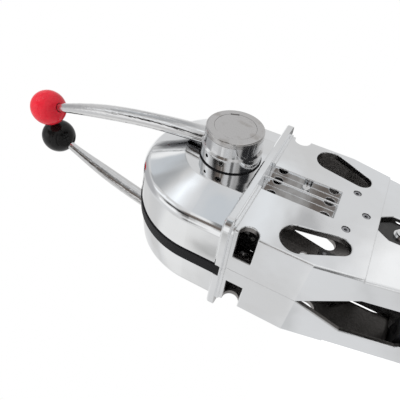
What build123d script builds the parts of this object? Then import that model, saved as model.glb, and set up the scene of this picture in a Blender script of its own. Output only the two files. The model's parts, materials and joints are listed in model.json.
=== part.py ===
"""Twin lever engine control for a boat: two hand levers on a domed, split casting.

The origin is the middle of the deck flange's underside. +Z points up, away from the deck,
+Y runs along the lever axis towards the throttle side (starboard) and +X runs fore and aft.
The casting is two mirrored halves that meet at Y = 0: each is written once, for the +Y side,
and mirrored for the port side. Lengths are in millimetres.
"""
import os
from math import cos, radians, sin

from build123d import *
from numpy import interp

os.makedirs("parts", exist_ok=True)

SIDES = ("starboard", "port")
LEVERS = {"starboard": "throttle", "port": "shift"}

# Clearances
static_fit = 0.02
running_fit = 0.04
face_gap = 0.3

# Shared details
BASE = (Align.CENTER, Align.CENTER, Align.MIN)
TOP = (Align.CENTER, Align.CENTER, Align.MAX)
socket_share = 0.55

# Lever axis and dome
axis_height = 35.4
barrel_radius = 77.5
barrel_crown = 2.0
dome_wall = 4.0
pad_height = 55.9
pad_radius = 40.0
face_fall = 12.3
dome_edge_radius = 9.0
pad_edge_radius = 3.0

# Deck flange
flange_end_margin = 1.0
flange_side_margin = 2.1
flange_length = 2 * (barrel_radius + flange_end_margin)
flange_width = 2 * (pad_height + flange_side_margin)
flange_thickness = 6.5
flange_corner_radius = 9.0
flange_bevel = 1.2
rim_projection = 2.2
rim_depth = 2.5
deck_hole_radius = 2.1
deck_hole_depth = 5.0
deck_hole_end_distance = 10.5
deck_hole_side_distance = 4.0

# Frame below the deck
frame_end_ledge = 6.7
frame_side_ledge = 9.3
frame_half_width = flange_length / 2 - frame_end_ledge
frame_kink_depth = 63.6
frame_depth = 185.0
frame_toe_length = 20.0
frame_taper_depth = frame_depth - frame_toe_length
frame_taper_half_width = 50.0
frame_end_half_width = 46.0
frame_wall = 4.0
frame_edge_radius = 2.0
frame_overlap = 10.0
plate_height = flange_width / 2 - frame_side_ledge
plate_step_depth = 99.0
plate_step = 1.7
plate_thickness = 4.0
opening_chamfer = 0.5
seam_chamfer = 0.3

# Rubber strip over the seam
strip_half_width = 6.6
strip_thickness = 2.6
strip_proud = 1.0
strip_edge_radius = 0.9
strip_foot = 1.0

# Pockets beside the flange, and the screws that join the halves
pocket_top = 5.5
pocket_bottom = 21.0
pocket_length = 9.8
pocket_reach = frame_half_width - pocket_length
pocket_floor = 17.3
join_boss_radius = 6.5
join_boss_height = 12.0
join_boss_bite = 1.5
join_pocket_x = frame_half_width - frame_wall - join_boss_radius + join_boss_bite
join_foot_x = frame_end_half_width - frame_wall - join_boss_radius + join_boss_bite
join_foot_rise = 7.0
join_foot_depth = frame_depth - join_foot_rise
join_access_radius = 5.6
join_screw_radius = 2.5
join_head_radius = 4.4
join_head_height = 3.2
join_nut_flats = 8.0
join_nut_height = 4.0

# Dowels that locate the halves
dowel_radius = 2.5
dowel_length = 16.0
dowel_angle = 42.0
dowel_boss_radius = 5.5
dowel_boss_height = 11.0
dowel_boss_bite = 0.5
dowel_circle_radius = barrel_radius - dome_wall - dowel_boss_radius + dowel_boss_bite

# Ribbed channel in the side plates
channel_half_width = 17.4
channel_depth = 8.0
channel_length = 64.5
channel_wall = 3.3
channel_rib = 1.8
channel_hole_radius = 4.4
channel_hole_x = 10.0
channel_hole_depths = (10.3, 58.0)

# Screws through the plates
plate_screw_side = 2.9
plate_screw_x = channel_half_width + channel_wall + plate_screw_side
plate_screw_drop = 11.8
plate_screws = (
    (-plate_screw_x, channel_length + plate_screw_drop),
    (plate_screw_x, channel_length + plate_screw_drop),
    (0.0, channel_length + 2 * plate_screw_drop),
)
plate_screw_radius = 2.0
plate_screw_head_radius = 2.9
plate_screw_head_height = 2.2
plate_screw_recess_radius = 3.5
plate_screw_recess_depth = 2.9

# Tapered oblong holes in the side plates, each between two limits at its wide and its narrow end
oblong_wall = 4.2
oblong_channel_distance = 19.7
oblong_big_outer = frame_half_width - oblong_wall
oblong_big_inner = channel_half_width + channel_wall + oblong_channel_distance
oblong_big_x = (oblong_big_outer + oblong_big_inner) / 2
oblong_big_radius = (oblong_big_outer - oblong_big_inner) / 2
oblong_big_depth = 46.0
oblong_small_wall = 19.8
oblong_screw_distance = 6.9
oblong_small_outer = frame_half_width - oblong_small_wall
oblong_small_inner = plate_screw_x + plate_screw_recess_radius + oblong_screw_distance
oblong_small_x = (oblong_small_outer + oblong_small_inner) / 2
oblong_small_radius = (oblong_small_outer - oblong_small_inner) / 2
oblong_small_depth = 76.0

# Windows in the end walls, and the open foot of the plates
window_tip_depth = frame_kink_depth
window_half_height = 24.1
window_shoulder_depth = 105.8
window_foot = 15.0
window_end_slope = 20.0
window_end_depth = frame_depth - window_foot
window_end_shoulder_depth = window_end_depth - window_end_slope
window_end_half_height = 10.0
slot_neck_half_width = 7.5
slot_half_width = 14.5
slot_neck_length = 10.0
slot_length = 47.0
slot_shoulder_depth = plate_step_depth + slot_neck_length
slot_end_depth = plate_step_depth + slot_length

# Crank on the inner end of a shaft
crank_radius = 48.0
crank_hub_radius = 14.0
crank_hub_inner = 14.0
crank_plate_inner = 20.0
crank_plate_thickness = 6.0
crank_plate_outer = crank_plate_inner + crank_plate_thickness
crank_hub_rise = 7.2
crank_hub_outer = crank_plate_outer + crank_hub_rise
crank_web_radius = 17.0
crank_end_radius = 8.0
crank_pin_radius = 4.0
crank_pin_head_radius = 6.2
crank_pin_head_height = 2.0
pin_clip_radius = 6.4
pin_clip_thickness = 1.0
roll_pin_radius = 2.0
roll_pin_height = (crank_plate_outer + crank_hub_outer) / 2
rivet_circle_radius = 15.6
rivet_radius = 1.2
rivet_head_radius = 1.35
rivet_head_height = 0.8
rivet_angles = (90.0, 180.0, 270.0)

# Shafts and bushes
shaft_radius = 10.0
shaft_end_radius = 8.0
shaft_thread_radius = 5.0
shaft_thread_length = 6.9
shaft_inner_length = 6.5
shaft_inner_end = crank_hub_inner - shaft_inner_length
bush_wall = 3.0
bush_flange_radius = 16.0
bush_flange_thickness = 2.0
bush_inner_face = crank_hub_outer + face_gap + bush_flange_thickness
hub_boss_radius = 19.0
shaft_nut_flats = 24.0

# Hub of a hand lever
seal_radius = 27.6
seal_thickness = 0.9
seal_top = pad_height + seal_thickness
hub_radius = 26.8
hub_upper_radius = 25.2
hub_bottom = seal_top + face_gap
hub_height = 23.5
hub_top = hub_bottom + hub_height
hub_shoulder = hub_bottom + hub_height / 2
hub_recess_radius = 17.0
hub_recess_depth = 8.0
hub_recess_floor = hub_top - hub_recess_depth
set_screw_radius = 3.0
set_screw_length = 12.0
set_screw_rise = 7.7
set_screw_height = hub_bottom + set_screw_rise
set_screw_angles = (-3.8, 142.0)
spanner_hole_angle = 27.9
spanner_hole_radius = 1.7
spanner_hole_depth = 6.0
hub_nut_flats = 17.0
hub_nut_height = 4.8
hub_nut_flange_radius = 9.6
hub_nut_flange_thickness = 1.5
cap_inset = 0.2
cap_radius = hub_upper_radius - cap_inset
cap_thickness = 4.9
cap_top = hub_top + cap_thickness
cap_edge_radius = 1.6
cap_spigot_height = 1.4
cap_disc_radius = 18.0
cap_disc_thickness = 1.1
cap_disc_recess = 1.2
lift_slot_length = 7.6
lift_slot_width = 2.0
lift_slot_distance = cap_disc_radius - 0.4
lift_slot_angle = 154.0

# Arm of a hand lever: (distance from the axis, rise over the hub's lower face) along its bow,
# and (share of its length, half width, half depth) of its sections
arm_start = (15.0, 9.7)
arm_middle = (110.0, -4.6)
arm_end = (206.0, -32.8)
arm_sections = (
    (0.0, 8.5, 6.4),
    (0.25, 9.0, 7.0),
    (0.5, 8.6, 7.0),
    (0.77, 7.0, 6.1),
    (0.93, 4.9, 4.8),
    (1.0, 4.6, 4.6),
)
knob_radius = 19.0
knob_seat = 10.3
knob_bore_radius = 5.1
lean = {"starboard": -0.4, "port": -2.1}

# Cable terminal hanging on the crank pin
terminal_eye_radius = 8.0
terminal_eye_thickness = 5.0
terminal_barrel_radius = 5.5
terminal_barrel_top = 22.0
terminal_length = 45.0
terminal_thread_radius = 2.4
terminal_thread_depth = 16.0

# Anchor plate and cable clamp inside each half
anchor_thickness = 3.0
anchor_top_half_width = 30.0
anchor_channel_gap = 3.2
anchor_top_depth = channel_length + channel_wall + anchor_channel_gap
anchor_tab_height = 25.0
anchor_stem_half_width = 13.0
anchor_foot_length = 27.0
anchor_rise = 10.0
anchor_bottom_depth = frame_depth - anchor_rise
anchor_foot_depth = anchor_bottom_depth - anchor_foot_length
anchor_foot_reach = 43.0
anchor_slot_half_width = 3.6
anchor_slot_length = 18.0
anchor_slot_rise = 4.0
anchor_slot_bottom = slot_end_depth - anchor_slot_rise
anchor_slot_top = anchor_slot_bottom - anchor_slot_length
cable_x = 33.0
clamp_drop = 2.0
clamp_top_depth = anchor_foot_depth + clamp_drop
clamp_length = 22.0
clamp_half_width = 10.5
clamp_cap_height = 10.0
clamp_bore_radius = 4.8
clamp_screw_offset = 7.6
clamp_screw_radius = 2.0
clamp_head_radius = 3.4
clamp_head_height = 2.6
tube_drop = 19.0
tube_depth = plate_step_depth + tube_drop
tube_radius = 5.0
tube_bore_radius = 2.6
tube_screw_radius = 2.5
tube_screw_length = 16.0
tube_head_radius = 4.4
tube_head_height = 2.6
tube_washer_radius = 5.8
tube_washer_thickness = 0.8

# Small screws that hold the brake leaf and the switch
small_screw_radius = 1.5
small_screw_head_radius = 2.8
small_screw_head_height = 1.8

# Throttle brake: a disc on the crank, a pad on a leaf, and the screw that presses the leaf
disc_radius = 36.0
disc_thickness = 5.0
disc_inner_face = crank_plate_inner - disc_thickness
pad_x = -10.5
pad_drop = 27.4
brake_pad_radius = 6.0
leaf_thickness = 1.5
leaf_half_width = 5.5
leaf_foot_depth = 54.0
leaf_post_radius = 5.0
leaf_distance = 5.0
leaf_height = crank_plate_outer + leaf_distance
leaf_screw_depth = 5.0
brake_screw_depth = 35.2
brake_screw_radius = 2.5
brake_screw_head_radius = 3.9
brake_screw_head_height = 4.2
brake_screw_slot_width = 0.9
brake_screw_slot_depth = 1.4

# Shift detent: a notched sector on the crank, and a sprung plunger in a holder
detent_room = 33.5
sector_radius = barrel_radius - dome_wall - detent_room
sector_end_margin = 11.0
detent_angles = (-35.0, 0.0, 35.0)
notch_radius = 3.0
notch_depth = 1.8
plunger_tip_radius = 2.3
plunger_body_radius = 4.5
plunger_neck_length = 7.0
plunger_body_length = 10.0
holder_radius = 7.0
holder_length = 23.5
holder_roof_gap = 2.5
holder_top = barrel_radius - dome_wall - holder_roof_gap
holder_bottom = holder_top - holder_length
holder_boss_radius = 9.5
holder_boss_height = 15.5
holder_boss_bottom = barrel_radius - dome_wall - holder_boss_height
spring_wire_radius = 0.5
spring_radius = 3.4
spring_turns = 5
plug_height = 5.5

# Neutral switch on the port side, pressed by a lobe on the crank hub
lobe_radius = 19.0
lobe_half_width = 4.0
switch_distance = 1.0
lobe_inner = crank_plate_outer + switch_distance
lobe_thickness = 5.5
lobe_outer = lobe_inner + lobe_thickness
switch_half_length = 14.0
switch_height = 30.0
switch_drop = 27.4
switch_inner = crank_plate_outer + switch_distance
switch_button_radius = 2.0
switch_button_depth = 6.0
switch_button_travel = 1.2
switch_screw_x = 9.5
switch_tab_width = 6.3
switch_tab_thickness = 0.8
switch_tab_length = 9.0

# Places worked out from the sizes above
plate_low_height = plate_height - plate_step
cavity_height = plate_low_height - plate_thickness
channel_floor = plate_height - channel_depth
channel_back = channel_floor - channel_wall
anchor_inner = cavity_height - anchor_thickness
terminal_inner = crank_plate_outer + face_gap
terminal_outer = terminal_inner + terminal_eye_thickness
cable_height = (terminal_inner + terminal_outer) / 2
sector_middle = (disc_inner_face + crank_plate_inner) / 2
strip_outer = barrel_radius + strip_proud
switch_button_height = (lobe_inner + lobe_outer) / 2
switch_top = axis_height - switch_drop
switch_bottom = switch_top - switch_height
switch_screw_bottom = -(switch_top + switch_bottom) / 2
pad_z = axis_height - pad_drop
shaft_thread_end = hub_recess_floor + shaft_thread_length
bush_radius = shaft_radius + running_fit + bush_wall
anchor_tab_bottom = anchor_top_depth + anchor_tab_height
lever_axis = Axis((0, 0, axis_height), (0, 1, 0))
join_points = [
    (-join_pocket_x, -(pocket_top + pocket_bottom) / 2),
    (join_pocket_x, -(pocket_top + pocket_bottom) / 2),
    (-join_foot_x, -join_foot_depth),
    (join_foot_x, -join_foot_depth),
]
clamp_points = [
    (cable_x + offset, -clamp_top_depth - clamp_length / 2)
    for offset in (-clamp_screw_offset, clamp_screw_offset)
]
dowel_points = [
    (end * dowel_circle_radius * sin(radians(dowel_angle)),
     axis_height + dowel_circle_radius * cos(radians(dowel_angle)))
    for end in (-1, 1)
]
frame_stations = (
    (0.0, frame_half_width),
    (frame_kink_depth, frame_half_width),
    (frame_taper_depth, frame_taper_half_width),
    (frame_depth, frame_end_half_width),
)


def side_plane(height):
    """Plane parallel to the side plates: its X is X, its Y is Z, and it faces the mid-plane."""
    return Plane.XZ.offset(-height)


def axis_plane(height):
    """The same plane with its origin on the lever axis."""
    return Plane(origin=(0, height, axis_height), x_dir=(1, 0, 0), z_dir=(0, -1, 0))


def frame_half_width_at(depth):
    """Half width of the frame at a depth below the deck."""
    return float(interp(depth, [d for d, _ in frame_stations], [x for _, x in frame_stations]))


def frame_outline(top, bottom, inset=0.0):
    """Outline of the frame in X and Z from one height to another, drawn inset from its walls."""
    depths = [-top] + [d for d, _ in frame_stations if -top < d < -bottom] + [-bottom]
    right = [(frame_half_width_at(depth) - inset, -depth) for depth in depths]
    return right + [(-x, z) for x, z in reversed(right)]


def dome_section(inset, top):
    """Face of half a dome section in distance from the axis and height over the mid-plane."""
    barrel = barrel_radius - inset
    edge = (barrel - barrel_crown, pad_height - face_fall - inset)
    with BuildSketch(Plane.XY.offset(top)) as section:
        with BuildLine():
            ThreePointArc((barrel, 0), (barrel - barrel_crown / 4, edge[1] / 2), edge)
            Polyline(edge, (pad_radius, pad_height - inset), (0, pad_height - inset), (0, 0), (barrel, 0))
        make_face()
        corner = section.vertices().sort_by_distance((*edge, top))[0]
        fillet(corner, dome_edge_radius - inset)
        pad_corner = section.vertices().sort_by_distance((pad_radius, pad_height - inset, top))[0]
        fillet(pad_corner, pad_edge_radius)
    return section.sketch


def dome_body(inset, bottom):
    """Dome solid: its section turned over the lever axis, and run straight down to a height."""
    section = dome_section(inset, axis_height)
    with BuildPart() as body:
        add(section)
        revolve(axis=Axis((0, 0, axis_height), (0, -1, 0)), revolution_arc=180)
        with BuildSketch(Plane.XY.offset(axis_height)):
            add(section)
            mirror(about=Plane.YZ)
        extrude(amount=bottom - axis_height)
    return body.part


def arch_band(outer, inner, foot, half_width):
    """Band over the seam: two legs and a half ring about the lever axis."""
    with BuildPart() as band:
        with BuildSketch(Plane.XZ) as profile:
            with BuildLine():
                outer_arc = ThreePointArc(
                    (outer, axis_height), (0, axis_height + outer), (-outer, axis_height)
                )
                inner_arc = ThreePointArc(
                    (-inner, axis_height), (0, axis_height + inner), (inner, axis_height)
                )
                Polyline(outer_arc @ 1, (-outer, foot), (-inner, foot), inner_arc @ 0)
                Polyline(inner_arc @ 1, (inner, foot), (outer, foot), outer_arc @ 0)
            make_face()
        extrude(amount=half_width, both=True)
    return band.part


def frame_body():
    """Outer form of the frame half: upper plate, and the lower plate a step below it."""
    with BuildPart() as upper:
        with BuildSketch(side_plane(plate_height)):
            Polygon(*frame_outline(0, -plate_step_depth), align=None)
        extrude(amount=plate_height)
        fillet(long_edges(upper, plate_height), frame_edge_radius)
    with BuildPart() as lower:
        with BuildSketch(side_plane(plate_low_height)):
            Polygon(*frame_outline(frame_overlap - plate_step_depth, -frame_depth), align=None)
        extrude(amount=plate_low_height)
        fillet(long_edges(lower, plate_low_height), frame_edge_radius)
    return upper.part, lower.part


def long_edges(body, height):
    """Edges that run down the two sides of a plate's outer face."""
    face = body.faces().sort_by(Axis.Y)[-1]
    return [edge for edge in face.edges() if abs(edge.center().X) > frame_end_half_width * 0.9]


def opening_edges(body):
    """Edges of the oblong holes and of the channel in the upper plate's outer face."""
    level = body.faces().filter_by_position(Axis.Y, plate_height - static_fit, plate_height + static_fit)
    plate = level.sort_by(SortBy.AREA)[-1]
    channel = [
        edge
        for edge in plate.outer_wire().edges()
        if abs(edge.center().X) < channel_half_width + static_fit
        and -channel_length - static_fit < edge.center().Z < -rim_depth
    ]
    return list(plate.inner_wires().edges()) + channel


def pocket_outline(end, radius):
    """Outline of a pocket: half a circle, and straight sides that run out past the end wall."""
    with BuildSketch() as outline:
        Circle(radius)
        with Locations((end * radius, 0)):
            Rectangle(2 * radius, 2 * radius)
    return outline.sketch


def slot_edges(body):
    """Edges of the open slot in the lower plate's outer face."""
    level = body.edges().filter_by_position(
        Axis.Y, plate_low_height - static_fit, plate_low_height + static_fit
    )
    return [
        edge
        for edge in level
        if abs(edge.center().X) < slot_half_width + static_fit
        and -slot_end_depth - static_fit < edge.center().Z < -plate_step_depth - static_fit
    ]


def wall_edges(body, low, high):
    """Edges in the end walls' outer faces whose middles lie between two heights over the seam."""
    return [
        edge
        for edge in body.edges()
        if low - static_fit < edge.center().Y < high + static_fit
        and -frame_depth + static_fit < edge.center().Z < -rim_depth
        and abs(edge.center().X) > frame_half_width_at(-edge.center().Z) - static_fit
    ]


def seam_edges(body):
    """Edges of the end walls that meet the other half."""
    return wall_edges(body, 0.0, 0.0)


def window_edges(body):
    """Edges of the windows in the end walls' outer faces."""
    return [
        edge
        for edge in wall_edges(body, static_fit, window_half_height)
        if edge.center().Z < -window_tip_depth
    ]


def on_side(part, side):
    """The part as it is for starboard, or its mirror image for port."""
    return part if side == "starboard" else mirror(part, about=Plane.XZ)


def on_both_sides(part):
    """A starboard part and its mirror image as two solids of one group."""
    with BuildPart() as pair:
        add(part)
        mirror(part, about=Plane.XZ)
    return pair.part


def save(part, name):
    """Label a finished piece and write it under its own name."""
    part.label = name
    export_step(part, f"parts/{name}.step")


def outward(x, height, z):
    """Plane parallel to the side plates that faces away from the mid-plane, with its Y up."""
    return Plane(origin=(x, height, z), x_dir=(-1, 0, 0), z_dir=(0, 1, 0))


def radial(angle, distance, height):
    """Plane facing away from the lever axis, at an angle from +X towards +Z and a distance."""
    direction = (cos(radians(angle)), 0, sin(radians(angle)))
    origin = (distance * direction[0], height, axis_height + distance * direction[2])
    return Plane(origin=origin, x_dir=(0, 1, 0), z_dir=direction)


def socket_screws(seats, head_radius, head_height, shank_radius, shank_length):
    """Group of equal screws: each seat plane lies under a head and faces the way it stands."""
    with BuildPart() as group:
        for seat in seats:
            with Locations(seat):
                Cylinder(head_radius, head_height, align=BASE)
                Cylinder(shank_radius, shank_length, align=TOP)
            with BuildSketch(seat.offset(head_height)):
                RegularPolygon(head_radius * socket_share, 6)
            extrude(amount=-head_height * socket_share, mode=Mode.SUBTRACT)
    return group.part


def hex_nuts(seats, flats, height, bore):
    """Group of equal nuts: each seat plane lies under a nut and faces away from the joint."""
    with BuildPart() as group:
        for seat in seats:
            with BuildSketch(seat):
                RegularPolygon(flats / 2, 6, major_radius=False)
                Circle(bore, mode=Mode.SUBTRACT)
            extrude(amount=height)
    return group.part


def housing_half(side):
    """Casting half: dome, flange and frame in one shell, with its bosses and openings."""
    upper, lower = frame_body()
    with BuildPart() as half:
        add(dome_body(0.0, 0.0))
        with BuildSketch(Plane.XY):
            RectangleRounded(flange_length, flange_width, flange_corner_radius)
        extrude(amount=flange_thickness - flange_bevel)
        with BuildSketch(Plane.XY.offset(flange_thickness - flange_bevel)):
            RectangleRounded(flange_length, flange_width, flange_corner_radius)
        extrude(amount=flange_bevel, taper=45)
        with BuildSketch(Plane.XY):
            rim_length = 2 * (frame_half_width + rim_projection)
            rim_width = 2 * (plate_height + rim_projection)
            RectangleRounded(rim_length, rim_width, flange_corner_radius - rim_projection)
        extrude(amount=-rim_depth)
        split(bisect_by=Plane.XZ, keep=Keep.BOTTOM)
        add(upper)
        add(lower)

        # Hollow of the dome down to the flange, and of the frame through the flange
        add(dome_body(dome_wall, flange_thickness - flange_bevel), mode=Mode.SUBTRACT)
        with BuildSketch(side_plane(cavity_height)):
            Polygon(*frame_outline(flange_thickness, -frame_depth, frame_wall), align=None)
        extrude(amount=cavity_height, mode=Mode.SUBTRACT)

        # Bosses for the bush, the joining screws and the dowels
        with Locations(axis_plane(pad_height - dome_wall / 2)):
            Cylinder(hub_boss_radius, pad_height - dome_wall / 2 - bush_inner_face, align=BASE)
        for x, z in join_points:
            with Locations(outward(x, 0, z)):
                Cylinder(join_boss_radius, join_boss_height, align=BASE)
        for x, z in dowel_points:
            with Locations(outward(x, 0, z)):
                Cylinder(dowel_boss_radius, dowel_boss_height, align=BASE)

        # Tray that holds the channel
        with BuildSketch(side_plane(cavity_height + channel_wall / 2)):
            with Locations((0, (flange_thickness - channel_length - channel_wall) / 2)):
                Rectangle(
                    2 * (channel_half_width + channel_wall),
                    flange_thickness + channel_length + channel_wall,
                )
        extrude(amount=cavity_height + channel_wall / 2 - channel_back)
        if side == "starboard":
            with Locations(outward(pad_x, leaf_height + leaf_thickness, -leaf_foot_depth)):
                post_length = channel_back + channel_wall / 2 - leaf_height - leaf_thickness
                Cylinder(leaf_post_radius, post_length, align=BASE)
        else:
            with Locations(Plane.XY.offset(axis_height + holder_boss_bottom)):
                with Locations((0, sector_middle)):
                    boss_top = barrel_radius - dome_wall / 2
                    Cylinder(holder_boss_radius, boss_top - holder_boss_bottom, align=BASE)

        # Ribbed channel with its floor holes
        with BuildSketch(side_plane(plate_height + 2 * rim_projection)):
            with Locations((0, -channel_length / 2)):
                Rectangle(2 * channel_half_width, channel_length)
        extrude(amount=2 * rim_projection + channel_depth, mode=Mode.SUBTRACT)
        with BuildSketch(side_plane(plate_height)):
            with Locations((0, -channel_length / 2)):
                Rectangle(channel_rib, channel_length + channel_wall)
        extrude(amount=channel_depth + channel_wall / 2)
        for x in (-channel_hole_x, channel_hole_x):
            for depth in channel_hole_depths:
                with Locations(outward(x, channel_floor, -depth)):
                    Cylinder(channel_hole_radius, 2 * channel_wall, mode=Mode.SUBTRACT)

        # Bores for the bush, the dowels and the joining screws
        with Locations(axis_plane(pad_height)):
            Cylinder(bush_radius + static_fit, pad_height, align=BASE, mode=Mode.SUBTRACT)
        for x, z in dowel_points:
            with Locations(outward(x, 0, z)):
                Cylinder(dowel_radius + static_fit, dowel_length, mode=Mode.SUBTRACT)
        for x, z in join_points:
            with Locations(outward(x, 0, z)):
                bore = join_screw_radius + face_gap
                Cylinder(bore, join_boss_height, align=BASE, mode=Mode.SUBTRACT)
        for x, z in join_points[2:]:
            with Locations(outward(x, join_boss_height, z)):
                Cylinder(join_access_radius, plate_height, align=BASE, mode=Mode.SUBTRACT)

        # Pockets beside the flange, open to the plate and the end wall, with broken edges
        pocket_radius = (pocket_bottom - pocket_top) / 2
        for end in (-1, 1):
            with BuildSketch(side_plane(plate_height)):
                with Locations((end * (pocket_reach + pocket_radius), -pocket_top - pocket_radius)):
                    add(pocket_outline(end, pocket_radius))
            extrude(amount=plate_height - pocket_floor, mode=Mode.SUBTRACT)
            with BuildSketch(side_plane(plate_height)):
                with Locations((end * (pocket_reach + pocket_radius), -pocket_top - pocket_radius)):
                    add(pocket_outline(end, pocket_radius + opening_chamfer))
            extrude(amount=opening_chamfer, taper=45, mode=Mode.SUBTRACT)
            wall = Plane(
                origin=(end * frame_half_width, pocket_floor, -pocket_top - pocket_radius),
                x_dir=(0, 1, 0), z_dir=(-end, 0, 0),
            )
            with BuildSketch(wall):
                with Locations((plate_height / 2 - opening_chamfer, 0)):
                    Rectangle(plate_height, 2 * (pocket_radius + opening_chamfer))
            extrude(amount=opening_chamfer, taper=45, mode=Mode.SUBTRACT)

        # Tapered oblong holes, the broken edges of these and the channel, and the plate's open foot
        for end in (-1, 1):
            with BuildSketch(side_plane(plate_height)):
                with Locations((end * oblong_big_x, -oblong_big_depth)):
                    Circle(oblong_big_radius)
                with Locations((end * oblong_small_x, -oblong_small_depth)):
                    Circle(oblong_small_radius)
                make_hull()
            extrude(amount=2 * plate_thickness, mode=Mode.SUBTRACT)
        chamfer(opening_edges(half), opening_chamfer)
        with BuildSketch(side_plane(plate_height)):
            with BuildLine():
                Polyline(
                    (slot_half_width, slot_half_width - slot_end_depth),
                    (slot_half_width, -slot_shoulder_depth),
                    (slot_neck_half_width, -plate_step_depth),
                    (-slot_neck_half_width, -plate_step_depth),
                    (-slot_half_width, -slot_shoulder_depth),
                    (-slot_half_width, slot_half_width - slot_end_depth),
                )
                ThreePointArc(
                    (-slot_half_width, slot_half_width - slot_end_depth),
                    (0, -slot_end_depth),
                    (slot_half_width, slot_half_width - slot_end_depth),
                )
            make_face()
        extrude(amount=2 * plate_thickness, mode=Mode.SUBTRACT)
        chamfer(slot_edges(half), opening_chamfer)

        # Windows in both end walls, and a fine break along the seam
        with BuildSketch(Plane.YZ):
            with BuildLine():
                Polyline(
                    (0, -window_tip_depth),
                    (window_half_height, -window_shoulder_depth),
                    (window_half_height, -window_end_shoulder_depth),
                    (window_end_half_height, -window_end_depth),
                    (0, -window_end_depth),
                    close=True,
                )
            make_face()
        extrude(amount=flange_length, both=True, mode=Mode.SUBTRACT)
        chamfer(window_edges(half), opening_chamfer)
        chamfer(seam_edges(half), seam_chamfer)

        # Holes for the plate screws, the deck screws and the side's own screws
        for x, depth in plate_screws:
            with Locations(outward(x, plate_height, -depth)):
                Cylinder(
                    plate_screw_recess_radius, plate_screw_recess_depth, align=TOP, mode=Mode.SUBTRACT
                )
                Cylinder(
                    plate_screw_radius + static_fit, plate_height - cavity_height,
                    align=TOP, mode=Mode.SUBTRACT,
                )
        for end in (-1, 1):
            deck_hole_x = end * (flange_length / 2 - deck_hole_end_distance)
            with Locations((deck_hole_x, flange_width / 2 - deck_hole_side_distance, 0)):
                Cylinder(deck_hole_radius, deck_hole_depth, align=BASE, mode=Mode.SUBTRACT)
        if side == "starboard":
            with Locations(outward(pad_x, channel_floor, -brake_screw_depth)):
                Cylinder(
                    brake_screw_radius + running_fit, 2 * channel_wall, mode=Mode.SUBTRACT
                )
            with Locations(outward(pad_x, leaf_height + leaf_thickness, -leaf_foot_depth)):
                Cylinder(small_screw_radius + static_fit, leaf_screw_depth, align=BASE, mode=Mode.SUBTRACT)
        else:
            with Locations(Plane.XY.offset(axis_height + holder_boss_bottom)):
                with Locations((0, sector_middle)):
                    bore_depth = holder_top - holder_boss_bottom
                    Cylinder(holder_radius + static_fit, bore_depth, align=BASE, mode=Mode.SUBTRACT)
            for x in (-switch_screw_x, switch_screw_x):
                with Locations(outward(x, channel_back, -switch_screw_bottom)):
                    Cylinder(small_screw_radius + static_fit, channel_wall, mode=Mode.SUBTRACT)

        # Groove for the rubber strip
        groove_floor = strip_outer - strip_thickness - static_fit
        groove = arch_band(strip_outer + dome_wall, groove_floor, strip_foot, strip_half_width + static_fit)
        add(groove, mode=Mode.SUBTRACT)
    return half.part


for side in SIDES:
    save(on_side(housing_half(side), side), f"{side}_housing")

# Rubber strip in the groove over the seam
with BuildPart() as seam_strip:
    add(arch_band(strip_outer, strip_outer - strip_thickness, strip_foot, strip_half_width))
    arcs = seam_strip.edges().filter_by(GeomType.CIRCLE).group_by(SortBy.RADIUS)[-1]
    uprights = seam_strip.edges().filter_by(Axis.Z)
    legs = [edge for edge in uprights if abs(edge.center().X) > strip_outer - strip_edge_radius]
    fillet([*arcs, *legs], strip_edge_radius)
save(seam_strip.part, "seam_strip")

# Screws, nuts and dowels that join the halves
join_length = 2 * join_boss_height + join_nut_height
join_seats = [outward(x, join_boss_height, z) for x, z in join_points]
save(
    socket_screws(join_seats, join_head_radius, join_head_height, join_screw_radius, join_length),
    "joining_screws",
)
nut_seats = [
    Plane(origin=(x, -join_boss_height, z), x_dir=(1, 0, 0), z_dir=(0, -1, 0)) for x, z in join_points
]
save(
    hex_nuts(nut_seats, join_nut_flats, join_nut_height, join_screw_radius + static_fit),
    "joining_nuts",
)
with BuildPart() as dowels:
    for x, z in dowel_points:
        with Locations(outward(x, 0, z)):
            Cylinder(dowel_radius, dowel_length - 2 * face_gap)
save(dowels.part, "joining_dowels")


def bush():
    """Plain bush with a flange on its inner end."""
    with BuildPart() as ring:
        with Locations(axis_plane(pad_height)):
            Cylinder(bush_radius, pad_height - bush_inner_face, align=BASE)
        with Locations(axis_plane(bush_inner_face)):
            Cylinder(bush_flange_radius, bush_flange_thickness, align=BASE)
        with Locations(axis_plane(pad_height)):
            Cylinder(shaft_radius + running_fit, pad_height, align=BASE, mode=Mode.SUBTRACT)
    return ring.part


def hub_seal():
    """Rubber ring under a lever hub, with a low lip round its outer edge."""
    lip = seal_thickness / 2
    with BuildPart() as ring:
        with Locations(axis_plane(seal_top)):
            Cylinder(seal_radius, seal_thickness, align=BASE)
            Cylinder(shaft_radius + face_gap, seal_thickness, align=BASE, mode=Mode.SUBTRACT)
        chamfer(ring.edges().group_by(Axis.Y)[-1].sort_by(SortBy.LENGTH)[-1], lip / 2)
    return ring.part


def shaft():
    """Stepped shaft: nut thread, crank seat and journal, hub seat and outer thread."""
    steps = (
        (shaft_inner_end, shaft_end_radius, crank_hub_inner),
        (crank_hub_inner, shaft_radius, seal_top),
        (seal_top, shaft_end_radius, hub_recess_floor),
        (hub_recess_floor, shaft_thread_radius, shaft_thread_end),
    )
    with BuildPart() as body:
        for start, radius, end in steps:
            with Locations(outward(0, start, axis_height)):
                Cylinder(radius, end - start, align=BASE)
        with Locations(outward(0, roll_pin_height, axis_height)):
            Cylinder(
                roll_pin_radius + static_fit, 4 * shaft_radius, rotation=(0, 90, 0), mode=Mode.SUBTRACT
            )
        chamfer(body.edges().group_by(Axis.Y)[-1], shaft_thread_radius / 8)
        chamfer(body.edges().group_by(Axis.Y)[0], shaft_end_radius / 8)
    return body.part


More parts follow.
